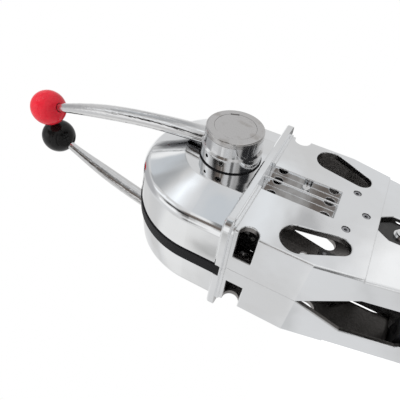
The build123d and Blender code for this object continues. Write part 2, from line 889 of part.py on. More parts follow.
def crank(side):
    """Hub and web with the cable pin's hole; the port hub carries the switch lobe."""
    with BuildPart() as body:
        with Locations(outward(0, crank_hub_inner, axis_height)):
            Cylinder(crank_hub_radius, crank_hub_outer - crank_hub_inner, align=BASE)
        with BuildSketch(axis_plane(crank_plate_outer)):
            Circle(crank_web_radius)
            with Locations((crank_radius, 0)):
                Circle(crank_end_radius)
            make_hull()
        extrude(amount=crank_plate_outer - crank_plate_inner)
        if side == "port":
            with BuildSketch(axis_plane(lobe_outer)):
                with Locations((0, -lobe_radius / 2)):
                    Rectangle(2 * lobe_half_width, lobe_radius)
                Circle(lobe_radius, mode=Mode.INTERSECT)
            extrude(amount=lobe_outer - lobe_inner)
        with Locations(outward(0, crank_hub_inner, axis_height)):
            Cylinder(
                shaft_radius + static_fit, crank_hub_outer - crank_hub_inner,
                align=BASE, mode=Mode.SUBTRACT,
            )
        with Locations(outward(crank_radius, crank_plate_inner, axis_height)):
            Cylinder(crank_pin_radius + static_fit, crank_plate_outer, align=BASE, mode=Mode.SUBTRACT)
        with Locations(outward(0, roll_pin_height, axis_height)):
            Cylinder(
                roll_pin_radius + static_fit, 4 * shaft_radius, rotation=(0, 90, 0), mode=Mode.SUBTRACT
            )
        rivet_holes()
    return body.part


def rivet_seats(height):
    """Places of the rivets through a crank's web, on planes that face away from the mid-plane."""
    return [
        outward(
            rivet_circle_radius * cos(radians(angle)),
            height,
            axis_height + rivet_circle_radius * sin(radians(angle)),
        )
        for angle in rivet_angles
    ]


def rivet_holes():
    """Cut the rivet holes through the open part's web and disc."""
    for seat in rivet_seats(crank_plate_outer):
        with Locations(seat):
            Cylinder(
                rivet_radius + static_fit, crank_plate_outer - disc_inner_face,
                align=TOP, mode=Mode.SUBTRACT,
            )


def web_rivets():
    """Rivets through the web and the disc or sector riveted to it."""
    stack = crank_plate_outer - disc_inner_face
    with BuildPart() as group:
        for seat in rivet_seats(crank_plate_outer):
            with Locations(seat):
                Cylinder(rivet_radius, stack + rivet_head_height, align=TOP)
                Cylinder(rivet_head_radius, rivet_head_height, align=BASE)
            with Locations(seat.offset(-stack)):
                Cylinder(rivet_head_radius, rivet_head_height, align=TOP)
    return group.part


def brake_disc():
    """Plain disc round the crank hub, for the throttle's friction pad."""
    thickness = crank_plate_inner - disc_inner_face
    with BuildPart() as body:
        with Locations(outward(0, disc_inner_face, axis_height)):
            Cylinder(disc_radius, thickness, align=BASE)
            Cylinder(crank_hub_radius + static_fit, thickness, align=BASE, mode=Mode.SUBTRACT)
        rivet_holes()
    return body.part


def detent_sector():
    """Fan with a notch for each gear position, riveted to the shift crank."""
    thickness = crank_plate_inner - disc_inner_face
    reach = 2 * sector_radius
    with BuildPart() as body:
        with BuildSketch(outward(0, disc_inner_face, axis_height)) as fan:
            Circle(sector_radius)
            with BuildLine():
                half_angle = radians(max(detent_angles) + sector_end_margin)
                left = (-reach * sin(half_angle), reach * cos(half_angle))
                right = (-left[0], left[1])
                Polyline((0, 0), left, (left[0], reach), (right[0], reach), right, close=True)
            make_face(mode=Mode.INTERSECT)
            Circle(rivet_circle_radius + 2 * rivet_radius)
            Circle(crank_hub_radius + static_fit, mode=Mode.SUBTRACT)
            for angle in detent_angles:
                notch_centre = sector_radius - notch_depth + notch_radius
                with Locations((notch_centre * sin(radians(angle)), notch_centre * cos(radians(angle)))):
                    Circle(notch_radius, mode=Mode.SUBTRACT)
        extrude(amount=thickness)
        rivet_holes()
    return body.part


def shaft_nut():
    """Hexagon nut on the inner end of a shaft, against the crank hub."""
    with BuildPart() as body:
        with BuildSketch(axis_plane(crank_hub_inner)):
            RegularPolygon(shaft_nut_flats / 2, 6, major_radius=False)
            Circle(shaft_end_radius + static_fit, mode=Mode.SUBTRACT)
        extrude(amount=crank_hub_inner - shaft_inner_end - face_gap)
    return body.part


def roll_pin():
    """Cross pin that keys a crank to its shaft."""
    with BuildPart() as body:
        with Locations(outward(0, roll_pin_height, axis_height)):
            Cylinder(roll_pin_radius, 2 * crank_hub_radius - face_gap, rotation=(0, 90, 0))
    return body.part


def crank_pin():
    """Headed pin in the crank's end, long enough for the cable terminal and its clip."""
    length = terminal_outer + face_gap + 2 * pin_clip_thickness - crank_plate_inner
    with BuildPart() as body:
        with Locations(outward(crank_radius, crank_plate_inner, axis_height)):
            Cylinder(crank_pin_head_radius, crank_pin_head_height, align=TOP)
            Cylinder(crank_pin_radius, length, align=BASE)
        chamfer(body.edges().group_by(Axis.Y)[-1], crank_pin_radius / 8)
    return body.part


def pin_clip():
    """Spring clip round the crank pin, outside the cable terminal."""
    with BuildPart() as body:
        with BuildSketch(outward(crank_radius, terminal_outer + face_gap, axis_height)):
            Circle(pin_clip_radius)
            Circle(crank_pin_radius + static_fit, mode=Mode.SUBTRACT)
            with Locations((pin_clip_radius, 0)):
                Rectangle(2 * pin_clip_radius, crank_pin_radius, mode=Mode.SUBTRACT)
        extrude(amount=pin_clip_thickness)
    return body.part


def cable_terminal():
    """Eye on the crank pin with a threaded barrel below it for the end of a control cable."""
    barrel_top = axis_height - terminal_barrel_top
    with BuildPart() as body:
        with BuildSketch(outward(crank_radius, terminal_inner, axis_height)):
            Circle(terminal_eye_radius)
            with Locations((0, -terminal_barrel_top / 2 - terminal_eye_radius / 4)):
                Rectangle(2 * terminal_barrel_radius, terminal_barrel_top + terminal_eye_radius / 2)
        extrude(amount=terminal_eye_thickness)
        with Locations(Plane(origin=(crank_radius, cable_height, barrel_top), z_dir=(0, 0, -1))):
            Cylinder(terminal_barrel_radius, terminal_length - terminal_barrel_top, align=BASE)
        bottom = Plane(origin=(crank_radius, cable_height, axis_height - terminal_length))
        with Locations(bottom):
            Cylinder(terminal_thread_radius, terminal_thread_depth, align=BASE, mode=Mode.SUBTRACT)
        with Locations(outward(crank_radius, terminal_inner, axis_height)):
            bore = crank_pin_radius + running_fit
            Cylinder(bore, terminal_eye_thickness, align=BASE, mode=Mode.SUBTRACT)
    return body.part


def arm_plane(share, path):
    """Section plane of the arm at a share of its length, with X across the lever."""
    return Plane(origin=path @ share, x_dir=(1, 0, 0), z_dir=path % share)


def arm_path():
    """Bowed centre line of the arm, upright over the lever axis."""
    points = [
        (0, hub_bottom + rise, axis_height + distance)
        for distance, rise in (arm_start, arm_middle, arm_end)
    ]
    return ThreePointArc(*points)


def lever_arm():
    """Arm lofted through oval sections, from inside the hub to inside the knob."""
    path = arm_path()
    with BuildPart() as body:
        for share, half_width, half_depth in arm_sections:
            with BuildSketch(arm_plane(share, path)):
                Ellipse(half_width, half_depth)
        loft()
    return body.part


def set_screw_seats(distance):
    """Planes of the set screws in a hub, facing away from the axis."""
    return [radial(angle, distance, set_screw_height) for angle in set_screw_angles]


def hand_lever(side):
    """Hub with its recess and bores, and the arm that leans as the lever rests."""
    arm = lever_arm().rotate(lever_axis, lean[side])
    with BuildPart() as body:
        with BuildSketch(Plane.XY.offset(axis_height)):
            with BuildLine():
                Polyline(
                    (shaft_end_radius, hub_bottom),
                    (hub_radius, hub_bottom),
                    (hub_radius, hub_shoulder),
                    (hub_upper_radius, hub_shoulder + hub_radius - hub_upper_radius),
                    (hub_upper_radius, hub_top),
                    (shaft_end_radius, hub_top),
                    close=True,
                )
            make_face()
        revolve(axis=lever_axis)
        add(arm)
        with Locations(axis_plane(hub_top)):
            Cylinder(
                hub_recess_radius, hub_top - hub_recess_floor, align=BASE, mode=Mode.SUBTRACT
            )
            Cylinder(
                shaft_end_radius + static_fit, hub_top - hub_bottom, align=BASE, mode=Mode.SUBTRACT
            )
        for seat in set_screw_seats(0):
            with Locations(seat):
                Cylinder(set_screw_radius + static_fit, 2 * hub_radius, align=BASE, mode=Mode.SUBTRACT)
        with Locations(radial(spanner_hole_angle, hub_radius, set_screw_height)):
            Cylinder(spanner_hole_radius, spanner_hole_depth, align=TOP, mode=Mode.SUBTRACT)
    return body.part


def set_screws():
    """Grub screws that lock a hub on its shaft."""
    with BuildPart() as group:
        for seat in set_screw_seats(shaft_end_radius + static_fit):
            with Locations(seat):
                Cylinder(set_screw_radius, set_screw_length, align=BASE)
            with BuildSketch(seat.offset(set_screw_length)):
                RegularPolygon(set_screw_radius * socket_share, 6)
            extrude(amount=-set_screw_length / 3, mode=Mode.SUBTRACT)
    return group.part


def hub_nut():
    """Flanged nut on the shaft's outer thread, in the recess of the hub."""
    seat = outward(0, hub_recess_floor, axis_height)
    with BuildPart() as body:
        with Locations(seat):
            Cylinder(hub_nut_flange_radius, hub_nut_flange_thickness, align=BASE)
        with BuildSketch(seat):
            RegularPolygon(hub_nut_flats / 2, 6, major_radius=False)
        extrude(amount=hub_nut_flange_thickness + hub_nut_height)
        with Locations(seat):
            Cylinder(
                shaft_thread_radius + static_fit, hub_recess_depth, align=BASE, mode=Mode.SUBTRACT
            )
    return body.part


def lift_slot():
    """Short slot across the edge of the cap's seat, for the blade that lifts the disc out."""
    with BuildPart() as slot:
        with Locations(radial(lift_slot_angle, lift_slot_distance, cap_top)):
            Box(2 * cap_disc_recess, lift_slot_length, lift_slot_width)
    return slot.part


def hub_cap():
    """Cap on the hub's face: a spigot in the recess, a round edge and a shallow seat on top."""
    with BuildPart() as body:
        with Locations(outward(0, hub_top, axis_height)):
            Cylinder(cap_radius, cap_thickness, align=BASE)
        fillet(body.edges().group_by(Axis.Y)[-1], cap_edge_radius)
        with Locations(outward(0, cap_top, axis_height)):
            Cylinder(
                cap_disc_radius + static_fit, cap_disc_recess, align=TOP, mode=Mode.SUBTRACT
            )
        add(lift_slot(), mode=Mode.SUBTRACT)
        with Locations(outward(0, hub_top, axis_height)):
            Cylinder(hub_recess_radius - static_fit, cap_spigot_height, align=TOP)
            Cylinder(
                shaft_end_radius, 2 * cap_spigot_height, mode=Mode.SUBTRACT
            )
    return body.part


def cap_disc():
    """Plain disc in the cap's seat."""
    with BuildPart() as body:
        with Locations(outward(0, cap_top - cap_disc_recess, axis_height)):
            Cylinder(cap_disc_radius, cap_disc_thickness, align=BASE)
        chamfer(body.edges().group_by(Axis.Y)[-1], cap_disc_thickness / 4)
        add(lift_slot(), mode=Mode.SUBTRACT)
    return body.part


def knob(side):
    """Ball knob, bored for the end of the arm."""
    tip = arm_plane(1.0, arm_path())
    with BuildPart() as body:
        with Locations(tip.offset(knob_seat)):
            Sphere(knob_radius)
        with Locations(tip):
            Cylinder(
                knob_bore_radius, knob_radius, align=TOP, mode=Mode.SUBTRACT
            )
    return body.part.rotate(lever_axis, lean[side])


def anchor_plate():
    """Steel plate behind the side plate: top tab, slotted stem, and a foot for the cable clamp."""
    with BuildPart() as body:
        with BuildSketch(side_plane(cavity_height)):
            Polygon(
                (-anchor_top_half_width, -anchor_top_depth),
                (-anchor_top_half_width, -anchor_tab_bottom),
                (-anchor_stem_half_width, -plate_step_depth - slot_half_width),
                (-anchor_stem_half_width, -anchor_bottom_depth),
                (anchor_foot_reach, -anchor_bottom_depth),
                (anchor_foot_reach, -anchor_foot_depth),
                (anchor_stem_half_width, -anchor_foot_depth),
                (anchor_stem_half_width, -plate_step_depth - slot_half_width),
                (anchor_top_half_width, -anchor_tab_bottom),
                (anchor_top_half_width, -anchor_top_depth),
                align=None,
            )
            with Locations((0, -(anchor_slot_top + anchor_slot_bottom) / 2)):
                SlotOverall(
                    anchor_slot_length, 2 * anchor_slot_half_width, rotation=90, mode=Mode.SUBTRACT
                )
            for x, depth in plate_screws:
                with Locations((x, -depth)):
                    Circle(plate_screw_radius + static_fit, mode=Mode.SUBTRACT)
            with Locations((0, -tube_depth)):
                Circle(tube_screw_radius + static_fit, mode=Mode.SUBTRACT)
            for x, z in clamp_points:
                with Locations((x, z)):
                    Circle(clamp_screw_radius + static_fit, mode=Mode.SUBTRACT)
        extrude(amount=anchor_thickness)
    return body.part


def clamp_block(inner, outer):
    """Block with half of the cable's groove in one face and holes for the clamp screws."""
    with BuildPart() as body:
        with BuildSketch(side_plane(outer)):
            with Locations((cable_x, -clamp_top_depth - clamp_length / 2)):
                Rectangle(2 * clamp_half_width, clamp_length)
            for x, z in clamp_points:
                with Locations((x, z)):
                    Circle(clamp_screw_radius + static_fit, mode=Mode.SUBTRACT)
        extrude(amount=outer - inner)
        with Locations((cable_x, cable_height, -clamp_top_depth)):
            Cylinder(clamp_bore_radius, clamp_length, align=TOP, mode=Mode.SUBTRACT)
    return body.part


# Screws of the cable clamps, and those through the side plates into the anchor plates
cap_face = cable_height - clamp_cap_height
clamp_seats = [
    Plane(origin=(x, end * cap_face, z), x_dir=(1, 0, 0), z_dir=(0, -end, 0))
    for end in (1, -1)
    for x, z in clamp_points
]
save(
    socket_screws(
        clamp_seats, clamp_head_radius, clamp_head_height, clamp_screw_radius, cavity_height - cap_face
    ),
    "clamp_screws",
)
plate_seat_height = plate_height - plate_screw_recess_depth
plate_seats = [
    Plane(origin=(x, end * plate_seat_height, -depth), x_dir=(1, 0, 0), z_dir=(0, end, 0))
    for end in (1, -1)
    for x, depth in plate_screws
]
plate_screw_length = plate_seat_height - anchor_inner + anchor_thickness / 2
save(
    socket_screws(
        plate_seats, plate_screw_head_radius, plate_screw_head_height, plate_screw_radius,
        plate_screw_length,
    ),
    "plate_screws",
)

save(on_both_sides(bush()), "shaft_bushes")
save(on_both_sides(clamp_block(cable_height, anchor_inner)), "clamp_bases")
save(on_both_sides(clamp_block(cable_height - clamp_cap_height, cable_height)), "clamp_caps")

for side in SIDES:
    lever = LEVERS[side]
    save(on_side(anchor_plate(), side), f"{side}_anchor_plate")
    save(on_side(hub_seal(), side), f"{side}_hub_seal")
    save(on_side(shaft(), side), f"{lever}_shaft")
    save(on_side(shaft_nut(), side), f"{lever}_shaft_nut")
    save(on_side(crank(side), side), f"{lever}_crank")
    save(on_side(roll_pin(), side), f"{lever}_roll_pin")
    save(on_side(web_rivets(), side), f"{lever}_web_rivets")
    save(on_side(crank_pin(), side), f"{lever}_crank_pin")
    save(on_side(pin_clip(), side), f"{lever}_pin_clip")
    save(on_side(cable_terminal(), side), f"{lever}_cable_terminal")
    save(on_side(hand_lever(side), side), f"{lever}_lever")
    save(on_side(set_screws(), side), f"{lever}_set_screws")
    save(on_side(hub_nut(), side), f"{lever}_hub_nut")
    save(on_side(hub_cap(), side), f"{lever}_hub_cap")
    save(on_side(cap_disc(), side), f"{lever}_cap_disc")
    save(on_side(knob(side), side), f"{lever}_knob")

# Tube between the anchor plates, with a screw and washer at each end
with BuildPart() as cross_tube:
    with Locations(Plane(origin=(0, 0, -tube_depth), z_dir=(0, 1, 0))):
        Cylinder(tube_radius, 2 * anchor_inner)
        Cylinder(tube_bore_radius, 2 * anchor_inner, mode=Mode.SUBTRACT)
save(cross_tube.part, "cross_tube")

washer_seats = [
    Plane(origin=(0, end * cavity_height, -tube_depth), x_dir=(1, 0, 0), z_dir=(0, end, 0))
    for end in (-1, 1)
]
with BuildPart() as cross_tube_screws:
    for seat in washer_seats:
        with Locations(seat):
            Cylinder(tube_washer_radius, tube_washer_thickness, align=BASE)
    head_seats = [seat.offset(tube_washer_thickness) for seat in washer_seats]
    add(
        socket_screws(head_seats, tube_head_radius, tube_head_height, tube_screw_radius, tube_screw_length)
    )
save(cross_tube_screws.part, "cross_tube_screws")

# Throttle brake
save(brake_disc(), "throttle_brake_disc")

with BuildPart() as brake_leaf:
    with BuildSketch(side_plane(leaf_height + leaf_thickness)):
        leaf_top = pad_z + brake_pad_radius
        with Locations((pad_x, (leaf_top - leaf_foot_depth - leaf_half_width) / 2)):
            Rectangle(2 * leaf_half_width, leaf_top + leaf_foot_depth + leaf_half_width)
        with Locations((pad_x, -leaf_foot_depth)):
            Circle(small_screw_radius + static_fit, mode=Mode.SUBTRACT)
    extrude(amount=leaf_thickness)
    fillet(brake_leaf.edges().filter_by(Axis.Y).group_by(Axis.Z)[-1], leaf_half_width / 2)
save(brake_leaf.part, "brake_leaf")

with BuildPart() as brake_pad:
    with Locations(outward(pad_x, crank_plate_inner + face_gap, pad_z)):
        Cylinder(brake_pad_radius, leaf_height - crank_plate_inner - face_gap, align=BASE)
save(brake_pad.part, "brake_pad")

with BuildPart() as brake_screw:
    screw_seat = outward(pad_x, channel_floor + face_gap, -brake_screw_depth)
    with Locations(screw_seat):
        Cylinder(brake_screw_head_radius, brake_screw_head_height, align=BASE)
    fillet(brake_screw.edges().group_by(Axis.Y)[-1], brake_screw_head_height / 3)
    with Locations(screw_seat):
        shank_length = channel_floor - leaf_height - leaf_thickness
        Cylinder(brake_screw_radius, shank_length, align=TOP)
    with Locations(screw_seat.offset(brake_screw_head_height)):
        Box(
            2 * brake_screw_head_radius, brake_screw_slot_width, 2 * brake_screw_slot_depth,
            mode=Mode.SUBTRACT,
        )
save(brake_screw.part, "brake_adjusting_screw")

# Shift detent
save(on_side(detent_sector(), "port"), "shift_detent_sector")

plunger_tip = axis_height + sector_radius + face_gap
body_bottom = plunger_tip + plunger_neck_length
body_top = body_bottom + plunger_body_length
with BuildPart() as detent_plunger:
    with Locations((0, -sector_middle, plunger_tip)):
        Cylinder(plunger_tip_radius, plunger_neck_length, align=BASE)
        fillet(detent_plunger.edges().group_by(Axis.Z)[0], plunger_tip_radius * 0.8)
    with Locations((0, -sector_middle, body_bottom)):
        Cylinder(plunger_body_radius, plunger_body_length, align=BASE)
save(detent_plunger.part, "detent_plunger")

with BuildPart() as detent_holder:
    with Locations((0, -sector_middle, axis_height + holder_bottom)):
        Cylinder(holder_radius, holder_top - holder_bottom, align=BASE)
        Cylinder(
            plunger_body_radius + running_fit, holder_top - holder_bottom, align=BASE, mode=Mode.SUBTRACT
        )
save(detent_holder.part, "detent_holder")

plug_bottom = axis_height + holder_top - plug_height
with BuildPart() as detent_plug:
    with Locations((0, -sector_middle, plug_bottom)):
        Cylinder(plunger_body_radius, plug_height, align=BASE)
save(detent_plug.part, "detent_plug")

spring_gap = plug_bottom - body_top
spring_pitch = (spring_gap - 2 * spring_wire_radius - face_gap) / spring_turns
spring_start = body_top + spring_wire_radius + face_gap / 2
spring_origin = Vector(0, -sector_middle, spring_start)
with BuildPart() as detent_spring:
    with BuildLine() as coil:
        Helix(spring_pitch, spring_pitch * spring_turns, spring_radius, center=spring_origin)
    with BuildSketch(Plane(origin=coil.line @ 0, z_dir=coil.line % 0)):
        Circle(spring_wire_radius)
    sweep(path=coil.line, is_frenet=True)
save(detent_spring.part, "detent_spring")

# Neutral switch
with BuildPart() as switch_body:
    with BuildSketch(side_plane(channel_back)):
        with Locations((0, (switch_top + switch_bottom) / 2)):
            Rectangle(2 * switch_half_length, switch_top - switch_bottom)
        for x in (-switch_screw_x, switch_screw_x):
            with Locations((x, -switch_screw_bottom)):
                Circle(small_screw_radius + static_fit, mode=Mode.SUBTRACT)
    extrude(amount=channel_back - switch_inner)
    with Locations((0, switch_button_height, switch_top)):
        Cylinder(
            switch_button_radius + running_fit, switch_button_depth, align=TOP, mode=Mode.SUBTRACT
        )
save(on_side(switch_body.part, "port"), "neutral_switch_body")

button_top = axis_height - lobe_radius - face_gap
button_foot = switch_top - switch_button_depth + switch_button_travel + face_gap
with BuildPart() as switch_button:
    with Locations((0, switch_button_height, button_foot)):
        Cylinder(switch_button_radius, button_top - button_foot, align=BASE)
    fillet(switch_button.edges().group_by(Axis.Z)[-1], switch_button_radius / 2)
save(on_side(switch_button.part, "port"), "neutral_switch_button")

# Small screws of the brake leaf and of the switch
leaf_seat = Plane(origin=(pad_x, leaf_height, -leaf_foot_depth), x_dir=(1, 0, 0), z_dir=(0, -1, 0))
leaf_screw = socket_screws(
    [leaf_seat], small_screw_head_radius, small_screw_head_height, small_screw_radius, leaf_screw_depth
)
switch_seats = [
    Plane(origin=(x, -switch_inner, -switch_screw_bottom), x_dir=(1, 0, 0), z_dir=(0, 1, 0))
    for x in (-switch_screw_x, switch_screw_x)
]
switch_screws = socket_screws(
    switch_seats, small_screw_head_radius, small_screw_head_height, small_screw_radius,
    channel_back + channel_wall / 2 - switch_inner,
)
with BuildPart() as small_screws:
    add(leaf_screw)
    add(switch_screws)
save(small_screws.part, "small_screws")

with BuildPart() as switch_tabs:
    for x in (-switch_screw_x, 0, switch_screw_x):
        with Locations((x, (channel_back + switch_inner) / 2, switch_bottom)):
            Box(switch_tab_thickness, switch_tab_width, switch_tab_length, align=TOP)
save(on_side(switch_tabs.part, "port"), "neutral_switch_tabs")
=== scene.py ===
"""Looks of the twin lever boat control: finishes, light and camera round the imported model."""
import json
from math import cos, radians, sin

import bpy
from mathutils import Matrix, Vector


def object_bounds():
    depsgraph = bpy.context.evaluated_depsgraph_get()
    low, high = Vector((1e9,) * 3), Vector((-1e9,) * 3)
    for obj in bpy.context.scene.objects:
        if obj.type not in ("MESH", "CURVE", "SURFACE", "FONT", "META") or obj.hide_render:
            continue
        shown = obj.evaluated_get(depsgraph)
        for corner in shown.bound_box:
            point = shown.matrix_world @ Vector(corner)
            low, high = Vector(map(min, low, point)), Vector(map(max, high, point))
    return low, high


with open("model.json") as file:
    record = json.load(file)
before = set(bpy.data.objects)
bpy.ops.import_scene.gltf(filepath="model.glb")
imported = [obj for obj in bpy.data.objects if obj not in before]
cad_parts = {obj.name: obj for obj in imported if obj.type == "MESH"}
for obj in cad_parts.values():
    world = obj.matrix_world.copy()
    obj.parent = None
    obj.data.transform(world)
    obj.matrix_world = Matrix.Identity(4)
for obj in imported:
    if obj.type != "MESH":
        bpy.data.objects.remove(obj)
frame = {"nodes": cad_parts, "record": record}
cad_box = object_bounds()
nodes = frame["nodes"]

# The photograph's view: the control lies on its side there, levers to the left
CAMERA_PLACE = Vector((0.25696, 0.26589, -0.04564))
CAMERA_FORWARD = Vector((-0.65148, -0.71177, 0.26261))
CAMERA_RIGHT = Vector((-0.46214, 0.09779, -0.88140))
CAMERA_LENS = 34.51
CAMERA_NEAREST = 0.01
SENSOR_WIDTH = 36.0

FLOOR_GAP = 0.0005
FLOOR_SIZE = 6.0
FLOOR_TONE = 0.80
FLOOR_GLOW = 0.60

# Lamps as (name, place, side length, power), in metres and watts
LAMPS = (
    ("key", (0.2, 0.9, 0.9), 0.7, 9.0),
    ("side", (0.9, -0.3, 0.5), 0.5, 4.0),
)

# Rounding of the casting's edges, in metres
EDGE_RADIUS = 0.0011
EDGE_SAMPLES = 4

MM_PER_METRE = 1000.0

# Outer faces of the frame below the flange, in millimetres
WALL_HALF = 71.8
WALL_TAPER = 0.215
WALL_KINK = -63.6
PLATE_HALF = 48.7
PLATE_STEP = 1.7
PLATE_STEP_HEIGHT = -98.9
CHANNEL_HALF = 18.5
CHANNEL_FLOOR = 40.2
CHANNEL_FOOT = -65.5

# Where the casting's dull skin begins: its depth under the outer faces, its top inside the
# flange, and the half width of a blend at an edge, in millimetres
SKIN_DEPTH = (0.8, 1.3)
SKIN_TOP = (5.0, 4.0)
EDGE_BLEND = 0.2
SKIN_RELIEF = 0.35
SKIN_ROUGHER = 0.30

# Heights on a lever between which the streaks of its arm set in, and between which the
# painted shade and dullness of its side over the dome set in from above, in millimetres
ARM_START = (60.0, 76.0)
DOME_REACH = (122.0, 104.0)
# Outward turn of a lever's face between which it gets painted shade and grows dull, with -1
# straight at the dome
FACING_DOME = (-0.35, -0.75)
STREAK_RELIEF = 0.35
DULL_ROUGHER = 0.08

# Light of the room on all that is dull
ROOM_TONE = (0.97, 0.985, 1.0)
ROOM_LIGHT = 0.50

# The room that the metal mirrors: clouded grey walls with cards of other tones. A card is
# (azimuth, elevation, half width, half height, softness, tone), with its first five in
# degrees, and covers the cards above it in this list
WALL_TONE = (0.74, 0.745, 0.755)
WALL_CLOUDS = (0.66, 0.655, 0.65)
CARDS = (
    (0, 90, 180, 26, 8, (0.46, 0.46, 0.47)),
    (0, -90, 180, 58, 6, (0.46, 0.455, 0.45)),
    (98, -51, 48, 8, 3, (0.03, 0.03, 0.032)),
    (68, 47, 9, 16, 4, (1.0, 1.02, 1.04)),
    (14, 45, 14, 14, 4, (1.0, 1.0, 1.0)),
    (28, 12, 56, 4, 3, (0.95, 0.95, 0.95)),
    (105, -10, 14, 9, 4, (1.0, 1.0, 1.0)),
    (97, 27, 4, 4, 8, (1.30, 1.36, 1.42)),
    (-102, 22, 16, 7, 8, (0.95, 0.95, 0.95)),
    (-58, 26, 18, 15, 6, (0.86, 0.86, 0.855)),
    (-49, 10, 2.5, 3.5, 3, (0.50, 0.50, 0.495)),
    (-54, -5, 5, 1.5, 2, (0.86, 0.86, 0.86)),
    (-56, -15, 7, 1.2, 1.5, (0.60, 0.605, 0.61)),
    (-58, -26, 4, 1, 2, (0.64, 0.645, 0.65)),
    (134, -13, 5, 4, 4, (1.0, 1.0, 1.0)),
    (136, 6, 6, 2, 3, (0.84, 0.86, 0.88)),
    (135, 0, 4, 1.5, 2.5, (0.47, 0.47, 0.475)),
    (123, 44, 14, 6, 6, (0.58, 0.61, 0.64)),
    (88, 11, 9, 5, 4, (0.60, 0.63, 0.66)),
    (-150, 40, 28, 18, 6, (1.0, 1.0, 1.0)),
    (20, -32, 20, 3, 2, (0.90, 0.90, 0.90)),
    (5, -24, 50, 4, 2, (0.17, 0.17, 0.17)),
    (-135, -3, 14, 16, 5, (0.07, 0.065, 0.06)),
    (-70, 47, 20, 5, 5, (0.66, 0.66, 0.66)),
    (137, 34, 22, 7, 5, (0.45, 0.46, 0.47)),
    (72, 8, 13, 4, 2, (0.22, 0.22, 0.22)),
    (17, 20, 8, 5, 3, (0.27, 0.26, 0.25)),
    (-17, 18, 8, 4, 3, (0.18, 0.18, 0.18)),
    (25, 4, 6, 6, 3, (0.18, 0.17, 0.16)),
    (46, 9, 14, 15, 5, (0.17, 0.145, 0.13)),
    (40, 3, 12, 1.2, 2, (0.44, 0.43, 0.42)),
    (41, 34, 9, 14, 4, (0.035, 0.033, 0.032)),
    (33, 24, 8, 8, 4, (0.04, 0.04, 0.04)),
    (50, 47, 3, 8, 3, (0.25, 0.25, 0.25)),
    (104, 46, 9, 10, 4, (0.42, 0.43, 0.44)),
    (137, 42, 4, 8, 3, (0.95, 0.95, 0.95)),
)

# Nodes with a closer finish than that of their material slot, by how their names end
CLOSER_FINISHES = {
    "satin_steel": ("_hub_cap", "_cap_disc"),
    "polished_steel": ("joining_screws", "cross_tube_screws", "brake_adjusting_screw"),
    "spring_steel": ("plate_screws",),
    "dark_steel": (
        "_anchor_plate", "cross_tube", "_cable_terminal", "_crank", "_detent_sector",
        "_brake_disc", "joining_nuts",
    ),
}


def colour(red, green, blue):
    return (red, green, blue, 1.0)


WHITE = colour(1.0, 1.0, 1.0)


class Nodes:
    """Short way to write a material's or the world's node tree."""

    def __init__(self, tree):
        self.tree = tree
        tree.nodes.clear()

    def add(self, kind, inputs=None, **settings):
        """Node with its inputs fed, by name or number, and its settings set."""
        node = self.tree.nodes.new(kind)
        for name, value in settings.items():
            setattr(node, name, value)
        for name, value in (inputs or {}).items():
            if isinstance(value, bpy.types.NodeSocket):
                self.tree.links.new(value, node.inputs[name])
            else:
                node.inputs[name].default_value = value
        return node

    def math(self, operation, a, b=0.0):
        return self.add("ShaderNodeMath", {0: a, 1: b}, operation=operation).outputs[0]

    def dot(self, a, b):
        node = self.add("ShaderNodeVectorMath", {0: a, 1: b}, operation="DOT_PRODUCT")
        return node.outputs["Value"]

    def ramp(self, value, span, to=(0.0, 1.0)):
        """Smooth step of a value over a span, from one number to another."""
        inputs = {
            "Value": value,
            "From Min": span[0],
            "From Max": span[1],
            "To Min": to[0],
            "To Max": to[1],
        }
        node = self.add("ShaderNodeMapRange", inputs, interpolation_type="SMOOTHSTEP")
        return node.outputs["Result"]

    def above(self, value, edge):
        """1 where a value is over an edge, 0 where it is under it."""
        return self.ramp(value, (edge - EDGE_BLEND, edge + EDGE_BLEND))

    def below(self, value, edge):
        """1 where a value is under an edge, 0 where it is over it."""
        return self.ramp(value, (edge + EDGE_BLEND, edge - EDGE_BLEND))

    def mix(self, share, a, b):
        """Colour between two; a Mix node's colour sockets have numbers of their own."""
        return self.add("ShaderNodeMix", {0: share, 6: a, 7: b}, data_type="RGBA").outputs[2]

    def place(self):
        """A point of the object, in millimetres along X, Y and Z."""
        point = self.add("ShaderNodeTexCoord").outputs["Object"]
        scaled = self.add("ShaderNodeVectorMath", {0: point, 3: MM_PER_METRE}, operation="SCALE")
        return self.add("ShaderNodeSeparateXYZ", {0: scaled.outputs[0]}).outputs

    def noise(self, scale, detail, stretch=(1, 1, 1), place=None):
        """Noise over the object, or over another place, with features 1/scale across."""
        if place is None:
            place = self.add("ShaderNodeTexCoord").outputs["Object"]
        mapped = self.add("ShaderNodeMapping", {"Vector": place, "Scale": stretch}).outputs[0]
        inputs = {"Vector": mapped, "Scale": scale, "Detail": detail}
        return self.add("ShaderNodeTexNoise", inputs).outputs["Fac"]

    def rounded(self, radius):
        """Normal that turns smoothly across edges, as if a radius in metres rounded them."""
        node = self.add("ShaderNodeBevel", {"Radius": radius}, samples=EDGE_SAMPLES)
        return node.outputs["Normal"]

    def bump(self, height, strength, distance, normal=None):
        """Normal that follows a height, over another normal where there is one."""
        inputs = {"Height": height, "Strength": strength, "Distance": distance}
        if normal is not None:
            inputs["Normal"] = normal
        return self.add("ShaderNodeBump", inputs).outputs["Normal"]

    def glow(self, kind, tone, strength):
        return self.add(kind, {"Color": tone, "Strength": strength}).outputs[0]

    def choose(self, share, first, second):
        """Shader that goes from the first to the second with a share."""
        return self.add("ShaderNodeMixShader", {0: share, 1: first, 2: second}).outputs[0]


